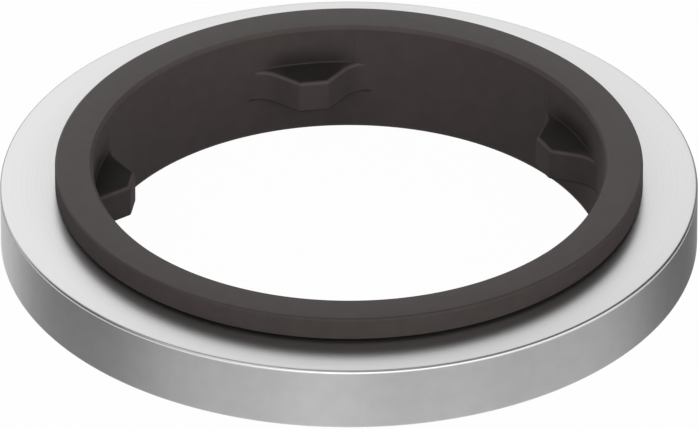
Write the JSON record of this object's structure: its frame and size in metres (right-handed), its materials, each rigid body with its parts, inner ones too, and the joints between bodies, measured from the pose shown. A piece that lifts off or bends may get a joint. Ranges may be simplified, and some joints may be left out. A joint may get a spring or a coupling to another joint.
{
  "type": "sealing ring",
  "caption": "Flat sealing ring for a threaded stud: an elastomer ring with thread-gripping lugs in its hole, moulded round the bore of a plain metal ring.",
  "frame": {"origin": "centre of the ring on the plane of its lower sealing lip, on which it rests", "axes": "+Z along the axis of the ring, towards the face with the rounded lug edges; +Y through one of the five lugs"},
  "size_m": [0.0184, 0.0184, 0.0031],
  "materials": {
    "metal": "fine turned, satin",
    "elastomer": "moulded, matt to satin"
  },
  "bodies": {
    "root": {"metal_ring": "metal", "seal_ring": "elastomer"}
  },
  "joints": []
}
